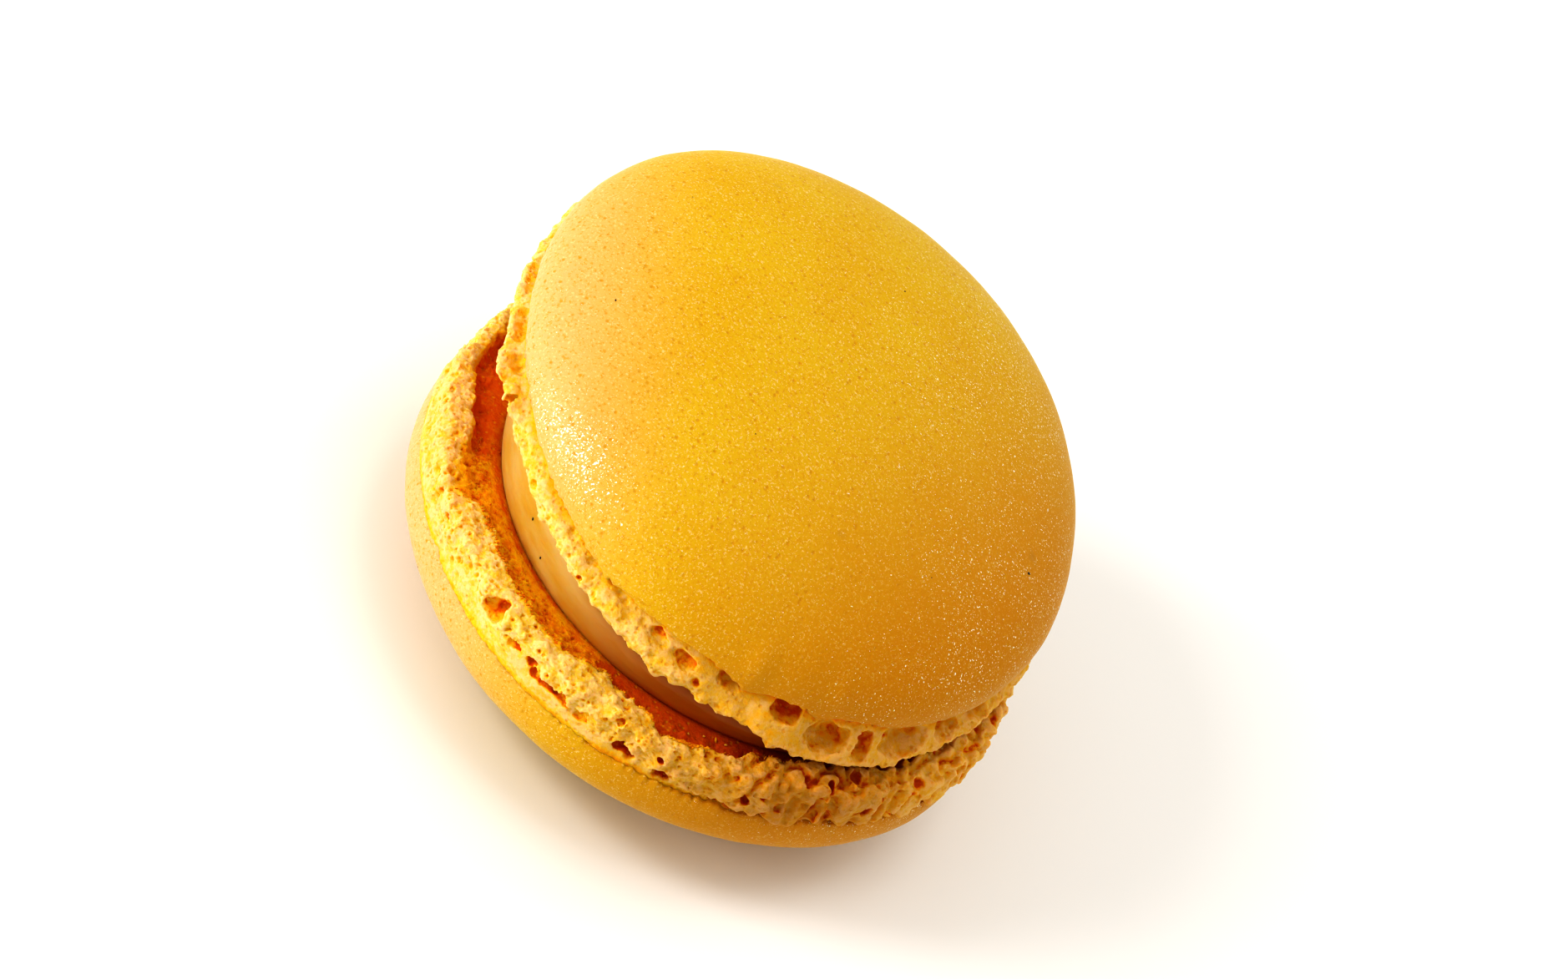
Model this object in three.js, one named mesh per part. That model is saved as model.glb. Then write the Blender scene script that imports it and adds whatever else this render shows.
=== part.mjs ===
// French macaron: two domed almond shells with ruffled feet and a wedge of ganache between them.
// Millimetres, +Z up. It rests on the small flat spot at the middle of the bottom shell's dome, at z = 0.

import * as THREE from 'three';
import { mergeVertices } from 'three/addons/utils/BufferGeometryUtils.js';

// Both shells, each described dome upwards with its rim at height 0
const segments = 96;            // facets round a shell
const domeRows = 9;             // rings from the rim to the peak

const bottom = {
  radius: 22.5,
  domeHeight: 8.83,
  fullness: 2.07,               // 2 is an ellipse, more is boxier
  rimTuck: 0.33,                // how far the skin turns in at the rim
  rimHeight: 1.33,
  flatSpot: 6.0,                // radius of the level patch it rests on
  outline: [[2, 0.0018, -0.0013], [3, -0.0009, -0.0018], [4, 0.0057, -0.0041]],
  footBulge: 0.35,              // widest ring of the foot, outside the shell's radius
  bulgeLean: 0,                 // how much more it bulges on one side and less opposite
  bulgeDepth: 2.5,
  crestWidth: 1.7,              // rounded top of the foot, from its outer shoulder to its inner edge
  footDepth: 4.05,
  innerRadius: 19.7,
  innerDepth: 2.95,             // the flat inner face sits inside the foot's raised edge
  ruffleDepth: 0.42,
  ruffleLift: 0.28,
  lean: 0,
  leanAzimuth: 0,               // side towards which bulgeLean and lean work
  phase: 0.7,
};

const top = {
  radius: 21.9,
  domeHeight: 7.94,
  fullness: 2.01,
  rimTuck: 0.85,
  rimHeight: 1.01,
  flatSpot: 0,
  outline: [[2, -0.0013, -0.0081], [3, -0.0044, 0.0014], [4, -0.0003, -0.0065]],
  footBulge: 0.6,
  bulgeLean: 0.45,
  bulgeDepth: 1.5,
  crestWidth: 1.3,
  footDepth: 3.1,
  innerRadius: 20.0,
  innerDepth: 3.0,
  ruffleDepth: 0.45,
  ruffleLift: 0.2,
  lean: 0.32,                   // share by which the foot is deeper on one side and shallower opposite
  leanAzimuth: -1.0,
  phase: 2.9,
};

// Where the top shell sits: off centre and tipped, lowest towards +X -Y
const topPlace = { x: -0.34, y: 2.5, z: 19.89, tipX: 0.10447, tipY: 0.12612 };

// Filling
const filling = { x: 0.75, y: 0.44, radius: 18.8, edgeRadius: 18.2, gap: 0.3, facets: 72, rows: 8 };

// Sum of waves round the shell that drift with depth, between about -1 and 1
function ruffle(azimuth, depth, phase) {
  return 0.45 * Math.sin(23 * azimuth + 2.1 * depth + phase)
    + 0.3 * Math.sin(15 * azimuth - 1.6 * depth + 2.3 * phase)
    + 0.25 * Math.sin(7 * azimuth + 0.9 * depth - phase);
}

function outlineFactor(azimuth, outline) {
  return outline.reduce((sum, [n, c, s]) => sum + c * Math.cos(n * azimuth) + s * Math.sin(n * azimuth), 1);
}

// Profile rings from the middle of the inner face, out over the foot and rim, up to the dome's peak.
// waves is how much of the ruffle reaches the ring.
function shellRings(s) {
  const rimRadius = s.radius - s.rimTuck;
  const bulgeRadius = s.radius + s.footBulge;
  const shoulderRadius = s.innerRadius + 0.7 + s.crestWidth;
  const rings = [
    { r: 0, z: -s.innerDepth, waves: 0 },
    { r: s.innerRadius * 0.5, z: -s.innerDepth, waves: 0 },
    { r: s.innerRadius, z: -s.innerDepth, waves: 0 },
    { r: s.innerRadius + 0.7, z: -s.footDepth * 0.98, waves: 0.5 },
    { r: (s.innerRadius + 0.7 + shoulderRadius) / 2, z: -s.footDepth, waves: 0.7 },
    { r: shoulderRadius, z: -(s.footDepth * 0.85 + s.bulgeDepth * 0.15), waves: 0.9 },
    { r: (shoulderRadius + 2 * bulgeRadius) / 3, z: -(s.footDepth + s.bulgeDepth) / 2, waves: 1 },
    { r: bulgeRadius, z: -s.bulgeDepth, waves: 1 },
    { r: bulgeRadius * 0.75 + rimRadius * 0.25, z: -s.bulgeDepth * 0.6, waves: 0.9 },
    { r: bulgeRadius * 0.4 + rimRadius * 0.6, z: -s.bulgeDepth * 0.28, waves: 0.6 },
    { r: rimRadius, z: 0, waves: 0.1 },
  ];
  for (const angle of [-0.95, -0.45]) {
    rings.push({ r: rimRadius + s.rimTuck * Math.cos(angle), z: s.rimHeight * (1 + Math.sin(angle)), waves: 0 });
  }
  for (let i = 0; i < domeRows; i++) {
    const t = i / domeRows * Math.PI / 2;
    const r = s.radius * Math.pow(Math.cos(t), 2 / s.fullness);
    const rise = (s.domeHeight - s.rimHeight) * Math.pow(Math.sin(t), 2 / s.fullness);
    if (r > s.flatSpot * 1.15) rings.push({ r, z: s.rimHeight + rise, waves: 0 });
  }
  if (s.flatSpot > 0) rings.push({ r: s.flatSpot, z: s.domeHeight, waves: 0 });
  rings.push({ r: 0, z: s.domeHeight, waves: 0 });
  return rings;
}

// Turned solid whose rings are then pushed in and out; the seam and the poles are closed by merging
function turned(rings, count, shape) {
  const geometry = new THREE.LatheGeometry(rings.map(({ r, z }) => new THREE.Vector2(r, z)), count);
  geometry.rotateX(Math.PI / 2);
  const position = geometry.getAttribute('position');
  for (let i = 0; i < position.count; i++) {
    const ring = rings[i % rings.length];
    const azimuth = Math.floor(i / rings.length) / count * Math.PI * 2 - Math.PI / 2;
    const { r, z } = shape(ring, azimuth);
    position.setXYZ(i, r * Math.cos(azimuth), r * Math.sin(azimuth), z);
  }
  geometry.deleteAttribute('uv');
  geometry.deleteAttribute('normal');
  const closed = mergeVertices(geometry, 1e-3);
  closed.computeVertexNormals();
  return closed;
}

// facing is 1 for a shell with its dome up and -1 for one turned over, so that its features keep their azimuth
function shellGeometry(s, facing) {
  const geometry = turned(shellRings(s), segments, (ring, localAzimuth) => {
    const azimuth = facing * localAzimuth;
    const inFoot = ring.waves > 0;
    const towardsLean = Math.cos(azimuth - s.leanAzimuth);
    const leaning = inFoot ? 1 + s.lean * towardsLean : 1;
    const bulge = ring.waves ** 2 * s.bulgeLean * towardsLean;
    const wave = ring.waves * ruffle(azimuth, ring.z, s.phase);
    const lift = ring.waves * ruffle(azimuth * 2, 0, s.phase + 1.3);
    const depth = Math.max(ring.z * leaning, -s.footDepth) + s.ruffleLift * lift * (inFoot ? 1 : 0);
    return {
      r: (ring.r + bulge) * outlineFactor(azimuth, s.outline) + s.ruffleDepth * wave,
      z: inFoot ? depth : ring.z,
    };
  });
  if (facing < 0) geometry.rotateX(Math.PI).translate(0, 0, s.domeHeight);
  return geometry;
}

// Disc with a soft bulging side, flat on the bottom shell and cut off below the top shell's tipped inner face
function fillingGeometry(f, floor, ceiling) {
  const rings = [{ r: 0, share: 0 }, { r: f.edgeRadius * 0.5, share: 0 }];
  for (let i = 0; i <= f.rows; i++) {
    const t = i / f.rows;
    const bulge = 1 - Math.pow(Math.abs(2 * t - 1), 3);
    rings.push({ r: f.edgeRadius + (f.radius - f.edgeRadius) * bulge, share: t });
  }
  rings.push({ r: f.edgeRadius * 0.5, share: 1 }, { r: 0, share: 1 });
  const profile = rings.map(({ r, share }) => ({ r, z: share, share }));
  const geometry = turned(profile, f.facets, (ring, azimuth) => {
    const sway = ring.share > 0 && ring.share < 1 ? 0.15 * Math.sin(5 * azimuth + 1) : 0;
    return { r: ring.r + sway, z: ring.share };
  });
  const position = geometry.getAttribute('position');
  for (let i = 0; i < position.count; i++) {
    const x = position.getX(i) + f.x;
    const y = position.getY(i) + f.y;
    const roof = -(ceiling.normal.x * x + ceiling.normal.y * y + ceiling.constant) / ceiling.normal.z;
    position.setXYZ(i, x, y, floor + position.getZ(i) * (roof - floor));
  }
  geometry.computeVertexNormals();
  return geometry;
}

function named(name, geometry, colour) {
  const mesh = new THREE.Mesh(geometry, new THREE.MeshStandardMaterial({ color: colour, roughness: 0.6 }));
  mesh.name = name;
  return mesh;
}

const macaron = new THREE.Group();
macaron.name = 'french_macaron';

macaron.add(named('bottom_shell', shellGeometry(bottom, -1), 0xe0a030));

const topShell = named('top_shell', shellGeometry(top, 1), 0xe8b040);
topShell.position.set(topPlace.x, topPlace.y, topPlace.z);
topShell.rotation.set(topPlace.tipX, topPlace.tipY, 0, 'YXZ');
topShell.updateMatrixWorld();
macaron.add(topShell);

const innerFace = bottom.domeHeight + bottom.innerDepth;
const underTop = new THREE.Plane(new THREE.Vector3(0, 0, 1), top.innerDepth + filling.gap);
underTop.applyMatrix4(topShell.matrixWorld);
macaron.add(named('filling', fillingGeometry(filling, innerFace, underTop), 0xc8783c));

export default macaron;
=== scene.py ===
import math
import random
import time

import bmesh
import bpy
import numpy as np
from mathutils import Matrix, Vector, noise
from mathutils.bvhtree import BVHTree


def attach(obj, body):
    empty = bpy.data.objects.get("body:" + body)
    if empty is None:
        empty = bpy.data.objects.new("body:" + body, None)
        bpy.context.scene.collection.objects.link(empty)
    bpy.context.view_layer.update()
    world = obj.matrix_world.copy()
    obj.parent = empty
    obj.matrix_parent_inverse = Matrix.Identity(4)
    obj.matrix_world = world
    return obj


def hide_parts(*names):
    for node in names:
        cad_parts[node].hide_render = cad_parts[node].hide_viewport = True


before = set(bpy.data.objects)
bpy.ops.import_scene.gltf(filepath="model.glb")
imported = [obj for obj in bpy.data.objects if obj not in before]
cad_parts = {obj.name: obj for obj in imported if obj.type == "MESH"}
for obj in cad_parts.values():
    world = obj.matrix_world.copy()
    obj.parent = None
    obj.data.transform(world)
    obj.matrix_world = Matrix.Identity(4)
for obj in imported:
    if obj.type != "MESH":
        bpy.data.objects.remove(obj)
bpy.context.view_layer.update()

scene = bpy.context.scene
mm = 0.001
startTime = time.time()

# noise_vector takes its offsets from the clock unless it is seeded
noise.seed_set(1)

# Everything is modelled in millimetres. A shell is modelled foot up, with depth 0 at its rim,
# and put in place at the end; turn is -1 where that flips the sense of azimuth.
camera = {
    'aim': (0.977, 2.907, 15.48),
    'distance': 400.0,
    'elevation': 39.875,
    'roll': -37.55,
    'lens': 133.5,
}

bottomShell = {
    'radius': 22.5, 'domeHeight': 8.83, 'fullness': 2.07, 'rimTuck': 0.33, 'rimHeight': 1.33,
    'outline': ((2, 0.0018, -0.0013), (3, -0.0009, -0.0018), (4, 0.0057, -0.0041)),
    'flatSpot': 6.0, 'coreRadius': 18.0, 'coreDepth': 2.9, 'turn': 1, 'seed': 11.0,
    'place': Matrix.Translation((0, 0, 8.83)),
}
tipped = Matrix.Rotation(0.12612, 4, 'Y') @ Matrix.Rotation(0.10447, 4, 'X')
topShell = {
    'radius': 21.9, 'domeHeight': 7.94, 'fullness': 2.01, 'rimTuck': 0.85, 'rimHeight': 1.01,
    'outline': ((2, -0.0013, -0.0081), (3, -0.0044, 0.0014), (4, -0.0003, -0.0065)),
    'flatSpot': 0.0, 'coreRadius': 18.0, 'coreDepth': 2.9, 'turn': -1, 'seed': 47.0,
    'place': Matrix.Translation((-0.34, 2.5, 19.89)) @ tipped @ Matrix.Rotation(math.pi, 4, 'X'),
}


def outlineFactor(shell, azimuth):
    return 1 + sum(c * math.cos(n * azimuth) + s * math.sin(n * azimuth) for n, c, s in shell['outline'])


def inShell(shell, azimuthDegrees, radius, depth):
    angle = shell['turn'] * math.radians(azimuthDegrees)
    return Vector((radius * math.cos(angle), radius * math.sin(angle), depth))


def azimuthOf(shell, x, y):
    return math.degrees(shell['turn'] * math.atan2(y, x))


def smoothStep(low, high, value):
    t = min(max((value - low) / (high - low), 0.0), 1.0)
    return t * t * (3 - 2 * t)


def roundStops(stops):
    # reads a value at any azimuth from (azimuth, value) stops that wrap round the circle
    angles, values = zip(*sorted(stops))
    table = np.interp(np.arange(-180, 180.5, 0.25), angles, values, period=360).tolist()
    return lambda azimuth: table[int((azimuth + 180) * 4)]


def spunSolid(profile, steps):
    # closed turned body from (radius, depth) points that start and end on the axis or meet each other
    bm = bmesh.new()
    verts = [bm.verts.new((r, 0, z)) for r, z in profile]
    edges = [bm.edges.new(pair) for pair in zip(verts, verts[1:])]
    if profile[0][0] > 0:
        edges.append(bm.edges.new((verts[-1], verts[0])))
    bmesh.ops.spin(bm, geom=verts + edges, cent=(0, 0, 0), axis=(0, 0, 1),
                   angle=2 * math.pi, steps=steps, use_merge=True)
    bmesh.ops.remove_doubles(bm, verts=bm.verts, dist=1e-4)
    bmesh.ops.recalc_face_normals(bm, faces=bm.faces)
    return bm


def meshOf(bm, name='work'):
    mesh = bpy.data.meshes.new(name)
    bm.to_mesh(mesh)
    bm.free()
    return mesh


def finished(mesh, *steps):
    # the mesh after a stack of modifiers, each given as (type, settings)
    work = bpy.data.objects.new('work', mesh)
    scene.collection.objects.link(work)
    for kind, settings in steps:
        modifier = work.modifiers.new(kind, kind)
        for key, value in settings.items():
            setattr(modifier, key, value)
    graph = bpy.context.evaluated_depsgraph_get()
    result = bpy.data.meshes.new_from_object(work.evaluated_get(graph))
    bpy.data.objects.remove(work)
    return result


def cutAway(mesh, cutter):
    tool = bpy.data.objects.new('cutter', cutter)
    scene.collection.objects.link(tool)
    result = finished(mesh, ('BOOLEAN', {'operation': 'DIFFERENCE', 'solver': 'MANIFOLD', 'object': tool}))
    bpy.data.objects.remove(tool)
    return result


def ballsMesh(balls, finer=2):
    # one mesh of stretched balls, gathered in small batches because an operator walks its whole bmesh
    gathered = bmesh.new()
    for start in range(0, len(balls), 40):
        batch = bmesh.new()
        for centre, halves, turnMatrix in balls[start:start + 40]:
            place = Matrix.Translation(centre) @ turnMatrix @ Matrix.Diagonal((*halves, 1))
            bmesh.ops.create_icosphere(batch, subdivisions=finer, radius=1, matrix=place)
        mesh = meshOf(batch)
        gathered.from_mesh(mesh)
        bpy.data.meshes.remove(mesh)
    return meshOf(gathered)


def radialFrame(shell, azimuthDegrees, tilt=0.0, twist=0.0):
    angle = shell['turn'] * math.radians(azimuthDegrees)
    return (Matrix.Rotation(angle, 4, 'Z') @ Matrix.Rotation(tilt, 4, 'Y')
            @ Matrix.Rotation(twist, 4, 'X'))


def verticesOf(mesh):
    points = np.empty(len(mesh.vertices) * 3, np.float32)
    mesh.vertices.foreach_get('co', points)
    normals = np.empty(len(mesh.vertices) * 3, np.float32)
    mesh.vertex_normals.foreach_get('vector', normals)
    return points.reshape(-1, 3), normals.reshape(-1, 3)


def pushAlongNormals(mesh, amountAt):
    points, normals = verticesOf(mesh)
    amounts = np.array([amountAt(Vector(p), Vector(n)) for p, n in zip(points.tolist(), normals.tolist())],
                       np.float32)
    points += normals * amounts[:, None]
    mesh.vertices.foreach_set('co', points.ravel())
    mesh.update()


def keepAsPiece(name, mesh, placeMatrix, material, nodeName):
    mesh.transform(Matrix.Scale(mm, 4) @ placeMatrix)
    for polygon in mesh.polygons:
        polygon.use_smooth = True
    mesh.materials.clear()
    mesh.materials.append(material)
    mesh.name = name
    piece = bpy.data.objects.new(name, mesh)
    scene.collection.objects.link(piece)
    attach(piece, 'root')
    if nodeName:
        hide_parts(nodeName)
    triangles = sum(len(polygon.vertices) - 2 for polygon in mesh.polygons)
    print(round(time.time() - startTime, 1), name, triangles, 'triangles')
    return piece


# Materials read object coordinates in metres, so a texture's scale is 1000 over its size in millimetres.

class NodeSketch:
    # short way to add and link nodes in one tree
    def __init__(self, tree):
        self.tree = tree

    def add(self, kind, inputs=None, **settings):
        node = self.tree.nodes.new(kind)
        for key, value in settings.items():
            setattr(node, key, value)
        for key, value in (inputs or {}).items():
            if isinstance(value, bpy.types.NodeSocket):
                self.tree.links.new(value, node.inputs[key])
            else:
                node.inputs[key].default_value = value
        return node

    def math(self, operation, first, second=0.5):
        return self.add('ShaderNodeMath', {0: first, 1: second}, operation=operation).outputs[0]

    def vectorMath(self, operation, first, second):
        return self.add('ShaderNodeVectorMath', {0: first, 1: second}, operation=operation).outputs['Vector']

    def span(self, value, low, high, toLow=0.0, toHigh=1.0):
        return self.add('ShaderNodeMapRange', {'Value': value, 'From Min': low, 'From Max': high,
                                               'To Min': toLow, 'To Max': toHigh},
                        interpolation_type='SMOOTHSTEP').outputs['Result']

    def blend(self, factor, first, second):
        return self.add('ShaderNodeMix', {'Factor': factor, 'A': first, 'B': second},
                        data_type='RGBA').outputs['Result']

    def noise(self, vector, sizeMm, detail=2.0, roughness=0.5):
        return self.add('ShaderNodeTexNoise', {'Vector': vector, 'Scale': 1000 / sizeMm, 'Detail': detail,
                                               'Roughness': roughness}).outputs['Fac']


def newMaterial(name, baseColor, roughness, scatter=(0, 0, 0), specular=0.5):
    material = bpy.data.materials.new(name)
    material.use_nodes = True
    shader = material.node_tree.nodes['Principled BSDF']
    shader.inputs['Base Color'].default_value = (*baseColor, 1)
    shader.inputs['Roughness'].default_value = roughness
    shader.inputs['Specular IOR Level'].default_value = specular
    if scatter[0]:
        shader.inputs['Subsurface Weight'].default_value = 1
        shader.inputs['Subsurface Radius'].default_value = scatter
        shader.inputs['Subsurface Scale'].default_value = mm
    sketch = NodeSketch(material.node_tree)
    place = sketch.add('ShaderNodeTexCoord').outputs['Object']
    return material, shader, sketch, place


def poresGroup():
    # scattered little pits: 1 in the middle of a pit, 0 between
    group = bpy.data.node_groups.new('crumbPores', 'ShaderNodeTree')
    group.interface.new_socket('Vector', in_out='INPUT', socket_type='NodeSocketVector')
    group.interface.new_socket('Scale', in_out='INPUT', socket_type='NodeSocketFloat')
    group.interface.new_socket('Share', in_out='INPUT', socket_type='NodeSocketFloat')
    group.interface.new_socket('Pits', in_out='OUTPUT', socket_type='NodeSocketFloat')
    sketch = NodeSketch(group)
    inputs = sketch.add('NodeGroupInput').outputs
    cells = sketch.add('ShaderNodeTexVoronoi', {'Vector': inputs['Vector'], 'Scale': inputs['Scale']})
    pick = sketch.add('ShaderNodeSeparateColor', {'Color': cells.outputs['Color']})
    wide = sketch.span(cells.outputs['Distance'], 0.45, 0.1)
    chosen = sketch.math('LESS_THAN', pick.outputs['Red'], inputs['Share'])
    sketch.add('NodeGroupOutput', {'Pits': sketch.math('MULTIPLY', wide, chosen)})
    return group


def sideGroup():
    # how far towards one side of the biscuit a point lies: 0 up to Start, 1 from End on
    group = bpy.data.node_groups.new('sideShare', 'ShaderNodeTree')
    for name, kind in (('Vector', 'Vector'), ('Direction', 'Vector'), ('Start', 'Float'), ('End', 'Float')):
        group.interface.new_socket(name, in_out='INPUT', socket_type='NodeSocket' + kind)
    group.interface.new_socket('Share', in_out='OUTPUT', socket_type='NodeSocketFloat')
    sketch = NodeSketch(group)
    inputs = sketch.add('NodeGroupInput').outputs
    side = sketch.add('ShaderNodeVectorMath', {0: inputs['Vector'], 1: inputs['Direction']},
                      operation='DOT_PRODUCT').outputs['Value']
    share = sketch.span(side, inputs['Start'], inputs['End'])
    sketch.add('NodeGroupOutput', {'Share': share})
    return group


pores = poresGroup()
sideShare = sideGroup()


def poresIn(sketch, vector, sizeMm, share):
    return sketch.add('ShaderNodeGroup', {'Vector': vector, 'Scale': 1000 / sizeMm, 'Share': share},
                      node_tree=pores).outputs['Pits']


# the side painted darker as shade, away from the key light; the side painted lighter, facing the key light; and
# the side where painted glints stand in for the rim light's reflection
sides = {'paintedShadeSide': (0.97, -0.25, 0), 'keyLitSide': (-0.9, -0.436, 0), 'rimGlintSide': (0.89, 0.45, 0)}


def towards(sketch, vector, side, startMm, endMm):
    return sketch.add('ShaderNodeGroup', {'Vector': vector, 'Direction': sides[side], 'Start': startMm * mm,
                                          'End': endMm * mm}, node_tree=sideShare).outputs['Share']


skinLook = {
    'color': (0.665, 0.44, 0.012), 'deeper': (0.655, 0.41, 0.006), 'paintedShadow': (0.575, 0.265, 0.0006),
    'paintedLitTint': (0.73, 0.45, 0.20), 'dust': (0.78, 0.60, 0.30), 'pit': (0.60, 0.31, 0.003),
    'stain': (0.45, 0.25, 0.05), 'paintedGlint': (1.0, 0.95, 0.80),
    'roughness': 0.5, 'specular': 0.25, 'scatter': (0.5, 0.32, 0.18), 'scattered': 0.6,
    'sheen': 0.12, 'sheenRoughness': 0.3,
    'mottleSize': 0.26, 'dustSize': 0.17, 'pitSpacing': 0.42, 'pitShare': 0.14,
    # a painted glint, a white fleck standing in for a highlight, shows where the crystal noise is over this
    # limit, which sinks in places: on the side the rim light reflects from, in random patches and in the glare
    # patch
    'crystalSize': 0.145, 'glintLimit': 0.79, 'rimGlintExtra': 0.10, 'patchyExtra': 0.03, 'patchExtra': 0.20,
    # one glossy patch of painted highlight, thick with painted glints where the glare light reflects, longer
    # along one direction
    'patchCentre': (-0.0114, -0.0150, 0.0224), 'patchAlong': (0.872, -0.487, -0.027), 'patchSize': 4.2,
    'patchShorten': (0.62, 0.62, 0.62), 'patchGloss': 0.17,
}


def skinMaterial():
    look = skinLook
    material, shader, sketch, place = newMaterial('shellSkin', look['color'], look['roughness'], look['scatter'],
                                                  look['specular'])
    shader.inputs['Subsurface Weight'].default_value = look['scattered']
    shader.inputs['Sheen Weight'].default_value = look['sheen']
    shader.inputs['Sheen Roughness'].default_value = look['sheenRoughness']
    broad = sketch.noise(place, 7.0, 3.0)
    color = sketch.blend(sketch.span(broad, 0.35, 0.7), (*look['color'], 1), (*look['deeper'], 1))
    # painted highlight: the side facing the key light is painted paler
    color = sketch.blend(towards(sketch, place, 'keyLitSide', 9, 22), color, (*look['paintedLitTint'], 1))
    # painted shade: the side facing away from the key light is painted darker and more orange, and gets less
    # dust
    paintedShadeSide = towards(sketch, place, 'paintedShadeSide', -2, 20)
    color = sketch.blend(paintedShadeSide, color, (*look['paintedShadow'], 1))
    mottle = sketch.noise(place, look['mottleSize'], 3.0, 0.7)
    color = sketch.blend(sketch.span(mottle, 0.50, 0.70, 0.0, 0.8), color, (*look['pit'], 1))
    dust = sketch.span(sketch.noise(place, look['dustSize'], 2.0, 0.7), 0.55, 0.68)
    dustShare = sketch.span(paintedShadeSide, 0.0, 1.0, 0.75, 0.32)
    color = sketch.blend(sketch.math('MULTIPLY', dust, dustShare), color, (*look['dust'], 1))
    finePits = poresIn(sketch, place, look['pitSpacing'], look['pitShare'])
    color = sketch.blend(sketch.math('MULTIPLY', finePits, 0.85), color, (*look['pit'], 1))
    smudges = sketch.noise(place, 2.6, 2.0)
    color = sketch.blend(sketch.span(smudges, 0.72, 0.80, 0.0, 0.3), color, (*look['stain'], 1))
    # painted glints, white flecks standing in for highlights, thick towards the side the rim light reflects from
    # and in one glare patch near the edge
    away = sketch.vectorMath('SUBTRACT', place, look['patchCentre'])
    along = sketch.add('ShaderNodeVectorMath', {0: away, 1: look['patchAlong']}, operation='DOT_PRODUCT')
    stretched = sketch.add('ShaderNodeVectorMath', {0: look['patchAlong'], 'Scale': along.outputs['Value']},
                           operation='SCALE').outputs['Vector']
    shortened = sketch.vectorMath('MULTIPLY', stretched, look['patchShorten'])
    distance = sketch.add('ShaderNodeVectorMath', {0: away, 1: shortened}, operation='DISTANCE').outputs['Value']
    glarePatch = sketch.span(distance, look['patchSize'] * mm, 0.0)
    crystals = sketch.noise(place, look['crystalSize'], 1.0)
    patchy = sketch.noise(place, 6.0, 1.0)
    limit = look['glintLimit']
    for share, extra in ((towards(sketch, place, 'rimGlintSide', -6, 14), look['rimGlintExtra']),
                         (sketch.span(patchy, 0.40, 0.65), look['patchyExtra']), (glarePatch, look['patchExtra'])):
        limit = sketch.math('SUBTRACT', limit, sketch.math('MULTIPLY', share, extra))
    over = sketch.math('SUBTRACT', crystals, limit)
    paintedGlint = sketch.span(over, 0.0, 0.02)
    color = sketch.blend(paintedGlint, color, (*look['paintedGlint'], 1))
    sketch.tree.links.new(color, shader.inputs['Base Color'])
    rough = sketch.span(paintedGlint, 0.0, 1.0, look['roughness'], 0.2)
    rough = sketch.math('SUBTRACT', rough, sketch.math('MULTIPLY', glarePatch, look['patchGloss']))
    sketch.tree.links.new(rough, shader.inputs['Roughness'])
    grain = sketch.noise(place, 0.26, 3.0, 0.6)
    height = sketch.math('SUBTRACT', grain, sketch.math('MULTIPLY', finePits, 0.6))
    height = sketch.math('ADD', height, sketch.math('MULTIPLY', paintedGlint, 0.6))
    bump = sketch.add('ShaderNodeBump', {'Height': height, 'Strength': 0.7, 'Distance': 0.08 * mm})
    sketch.tree.links.new(bump.outputs['Normal'], shader.inputs['Normal'])
    return material


crumbLook = {
    'ridge': (0.82, 0.595, 0.26), 'level': (0.80, 0.555, 0.11), 'yellow': (0.84, 0.53, 0.016),
    'hollow': (0.84, 0.42, 0.005), 'deep': (0.72, 0.165, 0.001), 'pore': (0.81, 0.45, 0.008),
    'paintedShadeSide': (0.88, 0.76, 0.58), 'paintedLitTint': (0.98, 0.88, 0.92), 'paintedShadow': (0.76, 0.68, 0.66),
    'roughness': 0.65, 'specular': 0.25, 'scatter': (0.4, 0.24, 0.12),
}


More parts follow.
